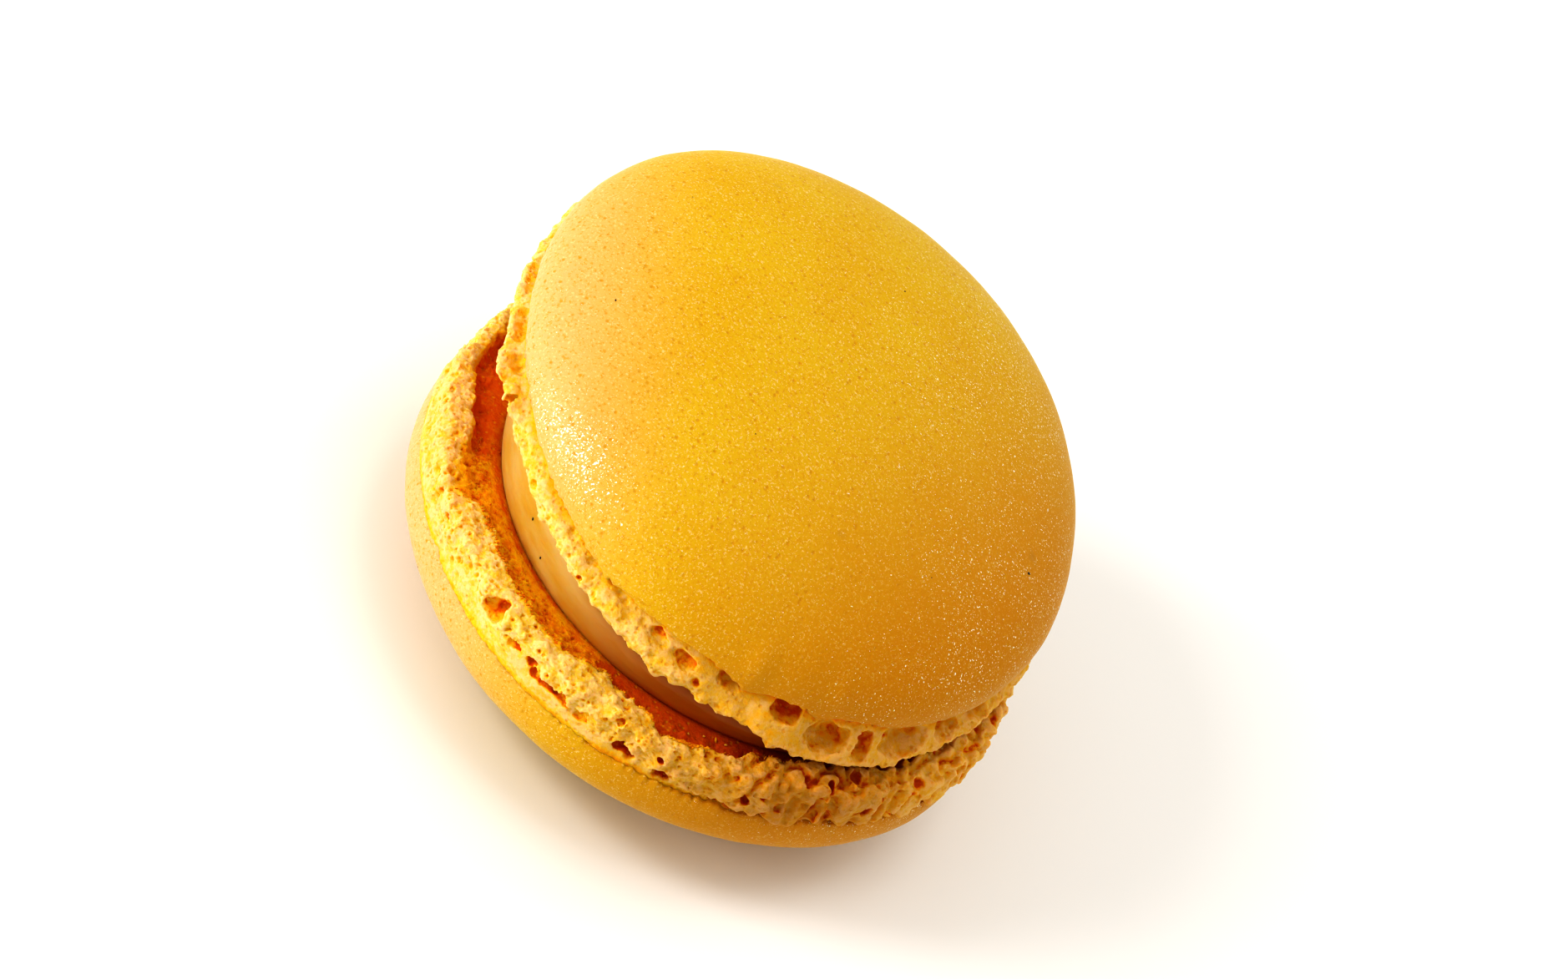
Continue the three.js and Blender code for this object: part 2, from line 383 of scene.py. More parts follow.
def crumbMaterial(name, scatter):
    look = crumbLook
    material, shader, sketch, place = newMaterial(name, look['level'], look['roughness'], scatter,
                                                  look['specular'])
    # the hollow attribute carries painted shade: higher where a point is enclosed, in the trench and in the
    # groove
    hollow = sketch.add('ShaderNodeAttribute', attribute_name='hollow').outputs['Fac']
    uneven = sketch.noise(place, 1.2, 3.0, 0.6)
    hollow = sketch.math('ADD', hollow, sketch.span(uneven, 0.25, 0.75, -0.1, 0.1))
    mottle = sketch.span(sketch.noise(place, 0.5, 4.0, 0.7), 0.32, 0.70, -0.12, 0.13)
    mottleShare = sketch.span(hollow, 0.5, 0.85, 1.0, 0.3)
    hollow = sketch.math('ADD', hollow, sketch.math('MULTIPLY', mottle, mottleShare))
    # painted shade: the ramp runs from the pale ridge colour on open tops to the deep colour in hollows and the
    # trench
    ramp = sketch.add('ShaderNodeValToRGB', {'Fac': hollow})
    stops = ramp.color_ramp.elements
    stops[0].position, stops[0].color = 0.28, (*look['ridge'], 1)
    stops[1].position, stops[1].color = 0.95, (*look['deep'], 1)
    for position, color in ((0.42, look['level']), (0.58, look['yellow']), (0.74, look['hollow'])):
        stops.new(position).color = (*color, 1)
    tinyPores = poresIn(sketch, place, 0.38, 0.35)
    color = sketch.blend(sketch.math('MULTIPLY', tinyPores, 0.65), ramp.outputs['Color'], (*look['pore'], 1))
    paintedShadow = sketch.add('ShaderNodeAttribute', attribute_name='paintedShadow').outputs['Fac']
    # painted shade and light multiplied in: darker on the side away from the key light and where the attribute
    # marks the top shell's shadow, and a less yellow painted tint on the side facing the key light
    for share, key in ((towards(sketch, place, 'paintedShadeSide', -5, 20), 'paintedShadeSide'),
                       (towards(sketch, place, 'keyLitSide', 16, 24), 'paintedLitTint'), (paintedShadow, 'paintedShadow')):
        color = sketch.add('ShaderNodeMix', {'Factor': share, 'A': color, 'B': (*look[key], 1)},
                           data_type='RGBA', blend_type='MULTIPLY').outputs['Result']
    sketch.tree.links.new(color, shader.inputs['Base Color'])
    grain = sketch.noise(place, 0.35, 3.0, 0.65)
    height = sketch.math('SUBTRACT', grain, sketch.math('MULTIPLY', tinyPores, 0.6))
    bump = sketch.add('ShaderNodeBump', {'Height': height, 'Strength': 0.9, 'Distance': 0.16 * mm})
    sketch.tree.links.new(bump.outputs['Normal'], shader.inputs['Normal'])
    return material


creamLook = {
    'color': (0.60, 0.42, 0.14), 'darker': (0.58, 0.35, 0.05), 'paintedShadeSide': (0.44, 0.145, 0.004),
    'smear': (0.80, 0.60, 0.32), 'roughness': 0.38, 'scatter': (0.5, 0.25, 0.1),
}


def creamMaterial():
    look = creamLook
    material, shader, sketch, place = newMaterial('fillingCream', look['color'], look['roughness'],
                                                  look['scatter'])
    flattened = sketch.add('ShaderNodeMapping', {'Vector': place, 'Scale': (1, 1, 3)}).outputs['Vector']
    streaks = sketch.noise(flattened, 4.0, 3.0)
    color = sketch.blend(sketch.span(streaks, 0.35, 0.7), (*look['color'], 1), (*look['darker'], 1))
    # painted shadow: the side facing away from the key light, under the top shell, is painted darker
    color = sketch.blend(towards(sketch, place, 'paintedShadeSide', -6, 10), color, (*look['paintedShadeSide'], 1))
    smears = sketch.span(sketch.noise(flattened, 2.2, 4.0, 0.7), 0.68, 0.78, 0.0, 0.5)
    color = sketch.blend(smears, color, (*look['smear'], 1))
    sketch.tree.links.new(color, shader.inputs['Base Color'])
    height = sketch.noise(flattened, 1.1, 2.0)
    bump = sketch.add('ShaderNodeBump', {'Height': height, 'Strength': 0.4, 'Distance': 0.1 * mm})
    sketch.tree.links.new(bump.outputs['Normal'], shader.inputs['Normal'])
    return material


skin = skinMaterial()
crumb = crumbMaterial('shellCrumb', crumbLook['scatter'])
looseCrumb = crumbMaterial('looseCrumb', (0, 0, 0))
cream = creamMaterial()


dome = {'steps': 720, 'rows': 44, 'unevenness': 0.08, 'rimJag': 0.36}

# how far the skin stops short of the rim, by azimuth
topRimLift = ((-130, 0.1), (-100, 0.0), (-92, 0.5), (-86, 0.85), (-79, 0.9), (-74, 0.4), (-68, 0.1),
              (-64.5, 0.9), (-58.5, 0.8), (-55, -0.1), (-52, 0.55), (-45.5, 0.7), (-41, 0.15),
              (-34, 0.0), (-28, -0.2),
              (0, 0.0))

# azimuth, radius, height and spread of small swellings of the top dome
topBumps = ((-70.5, 21.0, 0.22, 0.9), (-53.6, 21.1, 0.15, 0.7), (-62, 20.0, 0.08, 1.6), (100, 15.0, 0.05, 1.5))


def domeProfile(shell):
    rimRadius = shell['radius'] - shell['rimTuck']
    points = [(0, shell['coreDepth']), (shell['coreRadius'], shell['coreDepth']),
              (shell['coreRadius'], 0.3), (rimRadius - 1.6, 0.25), (rimRadius - 0.8, 0.2),
              (rimRadius - 0.3, 0.1), (rimRadius - 0.1, 0.03)]
    for i in range(9):
        angle = -math.pi / 2 + i / 8 * math.pi / 2
        points.append((rimRadius + shell['rimTuck'] * math.cos(angle),
                       -shell['rimHeight'] * (1 + math.sin(angle))))
    for i in range(1, dome['rows']):
        t = i / dome['rows'] * math.pi / 2
        r = shell['radius'] * math.cos(t) ** (2 / shell['fullness'])
        rise = (shell['domeHeight'] - shell['rimHeight']) * math.sin(t) ** (2 / shell['fullness'])
        points.append((r, -shell['rimHeight'] - rise))
    points.append((0, -shell['domeHeight']))
    return points


def buildDome(name, shell, nodeName, bumps=(), rimLift=((0, 0.0),)):
    liftAt = roundStops(rimLift)
    bm = spunSolid(domeProfile(shell), dome['steps'])
    seedShift = Vector((shell['seed'], 0, 0))
    knobs = [(inShell(shell, azimuth, radius, 0), height, spread) for azimuth, radius, height, spread in bumps]
    for vert in bm.verts:
        x, y, z = vert.co
        if z > 0.26:
            continue
        radius = math.hypot(x, y)
        factor = outlineFactor(shell, math.radians(azimuthOf(shell, x, y)))
        swell = dome['unevenness'] * noise.fractal(vert.co * 0.16 + seedShift, 1.0, 2.0, 3)
        for centre, height, spread in knobs:
            swell += height * math.exp(-((x - centre.x) ** 2 + (y - centre.y) ** 2) / spread ** 2)
        if radius > 17:
            # the thin edge hangs down unevenly
            flat = Vector((x / radius, y / radius, 0)) * 22
            jag = (noise.noise(flat * 0.6 + seedShift) + 0.7 * noise.noise(flat * 1.5 + seedShift)
                   + 0.8 * noise.noise(flat * 3.4 + seedShift))
            atRim = smoothStep(-1.6, -0.2, z) * smoothStep(18.5, 20.5, radius)
            z += (dome['rimJag'] * max(jag, -0.3) - liftAt(azimuthOf(shell, x, y))) * atRim
        vert.co = Vector((x * factor, y * factor, z)) * (1 + swell / shell['radius'])
    if shell['flatSpot'] > 0:
        floorDepth = -shell['domeHeight']
        for vert in bm.verts:
            flatness = 1 - smoothStep(shell['flatSpot'] * 0.9, shell['flatSpot'] * 1.5, vert.co.xy.length)
            if vert.co.z < 0:
                vert.co.z = max(vert.co.z + (floorDepth - vert.co.z) * flatness, floorDepth)
    return keepAsPiece(name, meshOf(bm), shell['place'], skin, nodeName)


# Feet. Each is a ring; the stops give, by azimuth, where its parts run.
ringStart = 17.2
mostTriangles = 190000

bottomFoot = {
    'steps': 420, 'voxel': 0.13, 'finalVoxel': 0.112,
    'floorDepth': 2.95, 'crestDepth': 4.05,
    'crestEdge': ((180, 20.9), (-172, 20.9), (-164, 20.3), (-157, 20.1), (-152.5, 20.15), (-150, 20.8),
                  (-145, 21.2), (-140, 21.5), (-137.6, 21.5), (-136, 20.4), (-132, 20.3), (-127, 20.4),
                  (-116, 20.7), (-109, 20.9), (-103, 20.8), (-97, 20.5), (-93, 19.7), (-86, 20.2),
                  (-82, 20.7),
                  (-78, 21.2), (-76, 21.4), (-72, 21.2), (-66, 20.7), (-60, 20.2), (-56, 20.0), (-40, 20.2),
                  (0, 20.4), (90, 20.3)),
    'wallRun': ((180, 0.5), (-153, 0.4), (-149, 2.2), (-138, 2.7), (-134, 1.9), (-125, 1.9), (-116, 2.0),
                (-97, 1.7), (-92, 0.5), (-60, 0.4), (90, 0.6)),
    'floorRise': ((180, 0.0), (-152, 0.0), (-140, 0.35), (-97, 0.35), (-90, 0.0), (90, 0.0)),
    # painted shade by azimuth: how dark the trench floor is painted, a shift towards deeper orange, and how much
    # darker the crumb is painted where the top shell's edge shades it
    'paintedFloorShade': ((180, 0.55), (-162, 0.52), (-154, 0.45), (-146, 0.34), (-130, 0.34), (-100, 0.46),
                  (-90, 0.6),
                  (-60, 0.65), (90, 0.5)),
    'paintedShadeShift': ((-80, 0.0), (-62, 0.04), (-54, 0.07), (-36, 0.07), (-24, 0.0)),
    'paintedShadow': ((-84, 0.0), (-66, 0.45), (-54, 1.0), (-38, 1.0), (-24, 0.1), (-15, 0.0)),
    'crest': ((180, 3.95), (-165, 4.0), (-157, 4.1), (-152, 4.0), (-148, 3.7), (-139, 3.6), (-136.5, 4.1),
              (-128, 4.05), (-100, 3.95), (-92, 4.1), (-80, 3.9), (-70, 3.95), (-50, 4.1), (0, 4.1),
              (90, 4.0)),
    'outer': ((180, 22.3), (-165, 22.35), (-140, 22.55), (-80, 22.6), (0, 22.6), (120, 22.5)),
    'crestRound': 0.55,
    'recess': ((180, 22.4), (-100, 22.35), (-70, 22.1), (-40, 21.9), (0, 22.0), (90, 22.2)),
    'recessSlope': 0.12, 'tierSoftness': 0.1,
    'tierEdge': ((-160, 1.2), (-140, 1.5), (-125, 2.0), (-115, 2.5), (-105, 2.1), (-97, 1.7), (-87, 1.4),
                 (-78, 1.0), (-70, 0.6), (-58, 0.3), (-45, 0.15), (-30, 0.1), (0, 0.3), (40, 0.8),
                 (90, 1.0), (140, 0.9)),
    'rugged': ((180, 0.6), (-120, 0.75), (-100, 0.9), (-80, 1.15), (-60, 1.4), (-20, 1.5), (60, 1.0),
               (120, 0.8)),
    # darkest caps the painted shade by azimuth
    'darkest': ((180, 0.78), (-123, 0.8), (-118, 0.92), (-90, 0.92), (-75, 1.0), (-20, 1.0), (60, 0.85)),
    'coral': ((-85, 0.0), (-62, 0.6), (-50, 1.0), (0, 1.0), (50, 0.4), (90, 0.0)),
    # painted shade in the groove under the dome's rim, by azimuth
    'paintedGrooveShade': ((180, 0.1), (-125, 0.15), (-95, 0.5), (0, 0.6), (90, 0.4)),
    'upright': 0.6,
    'lumps': 240, 'lumpSize': (0.5, 1.1), 'sink': 0.8, 'pits': 230, 'pitSize': (0.12, 0.38),
    'undercut': 170, 'undercutSize': (0.2, 1.0),
    'billow': 0.30, 'broadBillow': 0.42, 'billowSize': 1.1, 'poreDepth': 0.17, 'poreSize': 0.5, 'grit': 0.09,
    'hollows': (
        # azimuth, radius, depth, half sizes (radial, round, up)
        (-114.5, 22.7, 2.8, (1.7, 1.05, 1.0)),
        (-116.5, 22.8, 2.6, (1.2, 0.5, 0.5)),
        (-128, 22.6, 1.3, (0.35, 0.25, 0.25)),
        (-124.4, 22.7, 2.8, (0.5, 0.3, 0.5)),
        (-105.8, 22.8, 2.7, (0.4, 0.65, 0.45)),
        (-102.1, 22.6, 1.8, (0.7, 0.45, 0.4)),
        (-96.7, 22.6, 1.8, (0.7, 0.8, 0.28)),
        (-89.7, 22.7, 2.0, (0.7, 0.9, 0.28)),
        (-86.8, 22.5, 0.8, (0.5, 0.4, 0.25)),
        (-78.8, 22.8, 1.9, (0.9, 0.9, 0.3)),
        (-73.7, 22.4, 0.5, (0.8, 1.3, 0.25)),
        (-164, 22.0, 3.7, (0.35, 0.7, 0.25)),
        (-157.8, 21.6, 3.95, (0.5, 0.35, 0.3)),
        (-160, 22.3, 3.4, (0.3, 0.5, 0.25)),
        (-143.0, 21.9, 3.9, (0.5, 0.5, 0.45)),
        (-68.9, 21.7, 3.9, (0.6, 0.5, 0.6)),
        (-62, 20.9, 4.0, (0.5, 0.5, 0.5)),
        (-55, 22.6, 2.6, (0.5, 1.0, 0.3)),
        (-49, 21.7, 3.9, (0.7, 0.3, 0.5)),
        (-44, 22.0, 3.6, (0.7, 0.35, 0.6)),
        (-38, 21.2, 4.0, (0.8, 0.5, 0.6)),
        (-30.2, 21.8, 3.8, (0.6, 0.4, 0.7)),
        (-24.2, 22.3, 3.7, (0.7, 0.4, 0.8)),
        (-18, 22.5, 3.2, (0.5, 0.35, 0.7)),
        (-13, 22.6, 3.5, (0.4, 0.5, 0.4)),
    ),
}

topFoot = {
    'steps': 420, 'voxel': 0.13, 'finalVoxel': 0.112,
    'floorDepth': 3.0, 'crestDepth': 3.15,
    # the trench floor, shift and groove tones and the darkest limit below set painted shade, as on the bottom
    # foot
    'crestEdge': ((0, 20.2),), 'wallRun': ((0, 0.5),), 'paintedFloorShade': ((0, 0.6),),
    'floorRise': ((0, 0.0),),
    'crest': ((-160, 2.1), (-150, 1.9), (-142, 1.4), (-136, 2.0), (-120, 2.2), (-112, 2.1), (-96, 2.2),
              (-88, 2.35), (-80, 2.45), (-72, 2.25), (-66, 2.4), (-60, 2.7), (-50, 2.8), (-40, 2.75),
              (-30, 2.5), (-20, 2.3),
              (0, 2.3), (40, 2.2), (120, 2.1)),
    'outer': ((180, 22.05), (-152, 22.4), (-146, 23.15), (-140, 23.0), (-135, 22.0), (-120, 22.1),
              (-108, 22.4), (-96, 22.7), (-88, 22.95), (-80, 23.0), (-74, 22.8), (-69, 22.75),
              (-63, 23.2), (-58, 23.4), (-50, 23.55),
              (-44, 23.6), (-38, 23.4), (-30, 23.1), (-20, 22.9), (-5, 22.6), (40, 22.4), (90, 22.2),
              (135, 21.95)),
    'crestRound': 0.4,
    'recess': ((180, 21.0), (-80, 21.0), (-68, 21.4), (-60, 21.5), (-25, 21.4), (0, 21.1)),
    'recessSlope': 0.8, 'tierSoftness': 0.5,
    'tierEdge': ((-166, 0.85), (-150, 0.9), (-130, 0.7), (-110, 0.7), (-90, 0.7), (-70, 1.3), (-60, 2.0),
                 (-40, 2.2), (-28, 1.8), (-15, 0.8), (0, 0.4), (60, 0.6), (120, 0.7)),
    'rugged': ((180, 0.6), (-120, 0.8), (-75, 0.8), (-60, 0.45), (-30, 0.4), (-15, 0.6), (20, 0.6),
               (90, 0.8)),
    'paintedShadeShift': ((-90, 0.0), (-78, 0.07), (-62, 0.07), (-55, 0.0)), 'paintedShadow': ((0, 0.0),),
    'darkest': ((180, 0.50), (-132, 0.54), (-115, 0.75), (-100, 0.9), (-20, 1.0), (60, 0.85)),
    'coral': ((0, 0.0),),
    'paintedGrooveShade': ((180, 0.3), (-110, 0.5), (0, 0.55), (90, 0.5)),
    'upright': 1.0,
    'lumps': 180, 'lumpSize': (0.4, 0.85), 'sink': 0.75, 'pits': 130, 'pitSize': (0.12, 0.34),
    'undercut': 130, 'undercutSize': (0.15, 0.45),
    'billow': 0.26, 'broadBillow': 0.42, 'billowSize': 1.1, 'poreDepth': 0.12, 'poreSize': 0.5, 'grit': 0.065,
    'hollows': (
        (-111, 21.9, 0.25, (0.6, 0.8, 0.35)),
        (-104.4, 21.9, 0.25, (0.8, 1.1, 0.42)),
        (-97, 21.8, 0.2, (0.7, 1.2, 0.3)),
        (-91, 21.9, 0.12, (0.7, 0.7, 0.3)),
        (-87.5, 21.9, 0.12, (0.8, 1.1, 0.42)),
        (-81.6, 22.0, 0.2, (0.8, 1.2, 0.45)),
        (-77.5, 22.4, 0.9, (0.4, 0.35, 0.3)),
        (-75.5, 22.3, 0.8, (0.3, 0.25, 0.25)),
        (-72.0, 21.9, -0.15, (1.3, 1.3, 0.72)),
        (-60.8, 21.9, -0.1, (1.5, 1.25, 0.8)),
        (-51.3, 22.5, 0.75, (1.7, 1.75, 1.35)),
        (-43.9, 22.6, 0.85, (1.5, 0.78, 1.35)),
        (-34.9, 22.5, 0.8, (1.8, 2.35, 1.25)),
        (-24.3, 22.4, 0.75, (1.5, 1.25, 1.05)),
        (-16.6, 22.3, 0.6, (1.1, 1.2, 0.6)),
        (-12, 22.4, 0.7, (0.6, 1.0, 0.35)),
        (-129, 22.3, 0.9, (0.8, 0.75, 0.75)),
        (-138.7, 22.2, 1.0, (0.5, 0.5, 0.4)),
        (-146, 21.9, 0.5, (0.9, 1.0, 0.5)),
        (-154.5, 21.9, 0.55, (1.0, 1.7, 0.6)),
        (-167, 21.8, 0.5, (0.9, 2.6, 0.55)),
    ),
}

# radii of the turned ring before it is fitted: hidden inside, foot of the wall, crest edge, outer side
turnedRadii = (18.4, 19.0, 20.0, 22.6)


def footProfile(foot):
    floor, crest = foot['floorDepth'], foot['crestDepth']
    inner, wall, edge, outer = turnedRadii
    points = [(ringStart, floor - 0.05), (inner, floor), (wall - 0.2, floor)]
    points += [(wall + (edge - wall) * share ** 0.7, floor + (crest - floor) * share)
               for share in (0.0, 0.2, 0.4, 0.6, 0.8, 0.94)]
    points += [(edge + step, crest + lift)
               for step, lift in ((0.1, 0), (0.5, 0.02), (0.9, -0.02), (1.35, -0.1))]
    rows = 24
    for i in range(rows + 1):
        depth = (crest - 0.25) * (1 - i / rows)
        shoulder = max(depth - (crest - 1.1), 0) / 0.85
        points.append((outer - foot['crestRound'] * shoulder ** 2, depth))
    points += [(outer - 0.3, -0.15), (outer - 1.5, -0.3), (20.2, -0.3)]
    return points


def lumpy(point, size, offset):
    # rounded lumps with creases between, about 0 in a crease and 1 on a lump
    warped = point / size + offset + 0.5 * noise.noise_vector(point * (0.9 / size))
    near = noise.voronoi(warped)[0]
    return min(max(near[1] - near[0], 0.0) * 1.6, 1.0) * (1 - 0.4 * near[0] ** 2)


def porous(point, size, offset, share):
    # scattered small pits, 1 in the middle of one
    bent = point / size + offset + 0.45 * noise.noise_vector(point * 1.3)
    distances, centres = noise.voronoi(bent)
    if noise.cell(centres[0] * 7.3) > share:
        return 0.0
    return 1 - smoothStep(0.12, 0.42, distances[0])


def buildFoot(name, shell, foot, nodeName, rimLift=((0, 0.0),)):
    liftAt = roundStops(rimLift)
    rng = random.Random(int(shell['seed']))
    offset = Vector((shell['seed'], 3.0, 0))
    crestEdge, wallRun, crestAt, outerAt, recessAt, tierEdge, rugged, coral = (
        roundStops(foot[key])
        for key in ('crestEdge', 'wallRun', 'crest', 'outer', 'recess', 'tierEdge', 'rugged', 'coral'))
    paintedFloorShade, floorRise, paintedGrooveShade, paintedShadeShift, darkest, paintedShadow = (
        roundStops(foot[key])
        for key in ('paintedFloorShade', 'floorRise', 'paintedGrooveShade', 'paintedShadeShift', 'darkest', 'paintedShadow'))
    bm = spunSolid(footProfile(foot), foot['steps'])

    def tierEdgeAt(azimuth, flat):
        scallop = 0.3 * noise.noise(flat * 0.45 + offset) + 0.28 * noise.noise(flat * 1.3 + offset)
        return max(tierEdge(azimuth) + scallop, 0.0)

    for vert in bm.verts:
        x, y, z = vert.co
        turned = radius = math.hypot(x, y)
        azimuth = azimuthOf(shell, x, y)
        flat = Vector((x / radius, y / radius, 0)) * 22
        ragged = 0.25 * noise.noise(flat * 0.9 + offset) + 0.18 * noise.noise(flat * 2.1 + offset)
        edge = crestEdge(azimuth) + ragged
        outer = outerAt(azimuth)
        fitted = (turnedRadii[0], max(edge - wallRun(azimuth), 18.45), edge, outer)
        if radius > turnedRadii[0]:
            radius = float(np.interp(radius, turnedRadii, fitted))
        if z >= foot['floorDepth']:
            rise = (z - foot['floorDepth']) / (foot['crestDepth'] - foot['floorDepth'])
            top = crestAt(azimuth) if turned > turnedRadii[2] else foot['crestDepth']
            top += (crestAt(azimuth) - top) * smoothStep(turnedRadii[1], turnedRadii[2], turned)
            top += 0.12 * noise.noise(flat * 1.1 + offset * 2)
            z = foot['floorDepth'] + (top - foot['floorDepth']) * rise
            z += floorRise(azimuth) * (1 - rise) * smoothStep(ringStart, ringStart + 0.4, turned)
        elif z > 0:
            stretch = crestAt(azimuth) / foot['crestDepth'] - 1
            z *= 1 + stretch * smoothStep(turnedRadii[2], turnedRadii[3], turned)
        lift = liftAt(azimuth) * smoothStep(19.5, 21.0, turned)
        z -= lift * (1 - smoothStep(0.0, foot['floorDepth'], z))
        if turned > turnedRadii[3] - 0.35 and z + lift > -0.2:
            tier = tierEdgeAt(azimuth, flat)
            inTier = smoothStep(tier - foot['tierSoftness'], tier + foot['tierSoftness'], z)
            recess = recessAt(azimuth) + foot['recessSlope'] * max(z + lift, 0)
            radius = recess + (radius - recess) * inTier
        outward = smoothStep(turnedRadii[2], turnedRadii[3] - 0.8, turned)
        swell = 0.3 * noise.noise(flat * 0.3 + Vector((0, 0, z * 0.4)) + offset)
        radius += swell * outward * smoothStep(-0.2, 0.8, z)
        radius *= outlineFactor(shell, math.radians(azimuth))
        vert.co = Vector((x / turned * radius, y / turned * radius, z))

    def placeBall(azimuth, radius, depth, halves, twist=0.0):
        radius *= outlineFactor(shell, math.radians(azimuth))
        return inShell(shell, azimuth, radius, depth), halves, radialFrame(shell, azimuth, twist=twist)

    # lumps mostly sunk in the outer side and the crest
    lumps = []
    for i in range(foot['lumps']):
        azimuth = rng.uniform(-180, 180)
        tier, low, outer = tierEdge(azimuth), crestAt(azimuth), outerAt(azimuth)
        size = rng.uniform(*foot['lumpSize']) * (0.6 + 0.4 * rugged(azimuth))
        if rng.random() < 0.7:
            depth, radius = rng.uniform(tier + size * 0.5, low - 0.4), outer - size * foot['sink']
        else:
            depth = low - size * foot['sink']
            radius = rng.uniform(crestEdge(azimuth) + 0.4, outer - 0.5)
        halves = (size, size * rng.uniform(0.8, 1.6), size * rng.uniform(0.5, 0.9))
        lumps.append(placeBall(azimuth, radius, depth, halves, rng.uniform(-0.5, 0.5)))
    bm.from_mesh(ballsMesh(lumps))
    body = finished(meshOf(bm), ('REMESH', {'mode': 'VOXEL', 'voxel_size': foot['voxel']}),
                    ('SMOOTH', {'factor': 0.5, 'iterations': 2}))
    print(round(time.time() - startTime, 1), '  lumps set', len(body.vertices))

    def billow(point, normal):
        tall = Vector((point.x, point.y, point.z * foot['upright']))
        radius = point.xy.length
        azimuth = azimuthOf(shell, point.x, point.y)
        reach = smoothStep(18.7, 19.6, radius)
        if reach == 0 or point.z < -0.25 - max(liftAt(azimuth), 0.0):
            return 0.0
        tier = tierEdge(azimuth)
        reach *= rugged(azimuth) * (0.25 + 0.75 * smoothStep(tier - 0.3, tier + 0.3, point.z))
        relief = (foot['billow'] * (lumpy(tall, foot['billowSize'], offset) - 0.6)
                  + foot['broadBillow'] * (lumpy(tall, foot['billowSize'] * 2.1, offset * 2) - 0.6)
                  + 0.06 * noise.noise(point * 1.7 + offset) + 0.03 * noise.noise(point * 3.1 + offset))
        ribbed = coral(azimuth)
        if ribbed > 0:
            # narrow valleys that run mostly up and down
            branching = noise.noise(Vector((point.x, point.y, point.z * 0.3)) * 0.75 + offset)
            relief = relief * (1 - 0.55 * ribbed) + 0.55 * ribbed * (min(abs(branching) * 3.4, 1.0) - 0.65)
        return reach * relief

    pushAlongNormals(body, billow)
    body = finished(body, ('SMOOTH', {'factor': 0.5, 'iterations': 2}))

    # bubbles, bent out of round
    holes = [placeBall(*hollow) for hollow in foot['hollows']]
    for i in range(foot['pits']):
        azimuth = rng.uniform(-180, 180)
        if rng.random() > rugged(azimuth):
            azimuth = rng.uniform(-85, -5)
        tier, low, outer = tierEdge(azimuth), crestAt(azimuth), outerAt(azimuth)
        size = rng.uniform(*foot['pitSize']) * (0.6 + 0.4 * rugged(azimuth))
        if rng.random() < 0.7:
            depth, radius = rng.uniform(tier, low - 0.2), outer + rng.uniform(-0.2, 0.2)
        else:
            depth, radius = low + rng.uniform(-0.1, 0.2), rng.uniform(crestEdge(azimuth), outer - 0.3)
        halves = [size * rng.uniform(0.7, 1.5) for k in range(3)]
        holes.append(placeBall(azimuth, radius, depth, halves, rng.uniform(-0.8, 0.8)))
    for i in range(foot['undercut']):
        azimuth = i * 360 / foot['undercut'] - 180 + rng.uniform(-0.5, 0.5)
        flat = inShell(shell, azimuth, 22, 0)
        depth = tierEdgeAt(azimuth, flat) - 0.05
        size = rng.uniform(*foot['undercutSize']) * smoothStep(0.7, 0.9, rugged(azimuth))
        size *= smoothStep(-0.2, 0.3, noise.noise(flat * 0.5 + offset * 3))
        if size > 0.08:
            halves = (size * 1.9, rng.uniform(0.4, 0.9), size * 0.55)
            holes.append(placeBall(azimuth, recessAt(azimuth) + 0.3, depth, halves))
    bubbles = finished(ballsMesh(holes), ('REMESH', {'mode': 'VOXEL', 'voxel_size': 0.09}))
    pushAlongNormals(bubbles, lambda point, normal: 0.3 * noise.noise(point * 1.1 + offset)
                     + 0.16 * noise.noise(point * 2.6 + offset))
    body = cutAway(body, bubbles)
    body = finished(body, ('REMESH', {'mode': 'VOXEL', 'voxel_size': foot['finalVoxel']}),
                    ('SMOOTH', {'factor': 0.4, 'iterations': 1}))
    print(round(time.time() - startTime, 1), '  bubbles cut', len(body.vertices))

    def crumbRelief(point, normal):
        radius = point.xy.length
        azimuth = azimuthOf(shell, point.x, point.y)
        reach = smoothStep(18.4, 19.2, radius)
        if reach == 0 or point.z < -0.25 - max(liftAt(azimuth), 0.0):
            return 0.0
        tier = tierEdge(azimuth)
        crusty = reach * (0.35 + 0.65 * smoothStep(tier - 0.4, tier + 0.2, point.z))
        grit = foot['grit'] * (noise.noise(point * 2.6 + offset) + 0.8 * noise.noise(point * 5.2 + offset)
                               + 0.5 * noise.noise(point * 9.5 + offset))
        fine = 1 - 0.6 * coral(azimuth)
        return crusty * fine * (grit - foot['poreDepth'] * porous(point, foot['poreSize'], offset, 0.38))

    pushAlongNormals(body, crumbRelief)
    triangles = len(body.polygons) * 2
    if triangles > mostTriangles:
        body = finished(body, ('DECIMATE', {'ratio': mostTriangles / triangles}))

    # painted shade in the trench inside the crest and in the groove under the dome's rim
    def paintedTrenchShade(point):
        azimuth = azimuthOf(shell, point.x, point.y)
        radius = point.xy.length / outlineFactor(shell, math.radians(azimuth))
        edge = crestEdge(azimuth)
        steep = 1 - 0.6 * smoothStep(0.8, 1.8, wallRun(azimuth))
        wall = 0.45 * steep * (1 - smoothStep(edge - 0.3, edge + 0.3, radius))
        low = foot['floorDepth'] + floorRise(azimuth)
        bottom = paintedFloorShade(azimuth) * (1 - smoothStep(low + 0.1, low + 0.8, point.z))
        trench = (wall + bottom * (radius < edge)) * smoothStep(2.0, 2.6, point.z)
        groove = 1 - smoothStep(0.05, 0.45, point.z + liftAt(azimuth))
        groove *= 1 - smoothStep(recessAt(azimuth) + 0.3, recessAt(azimuth) + 0.8, radius)
        return max(trench, paintedGrooveShade(azimuth) * groove)

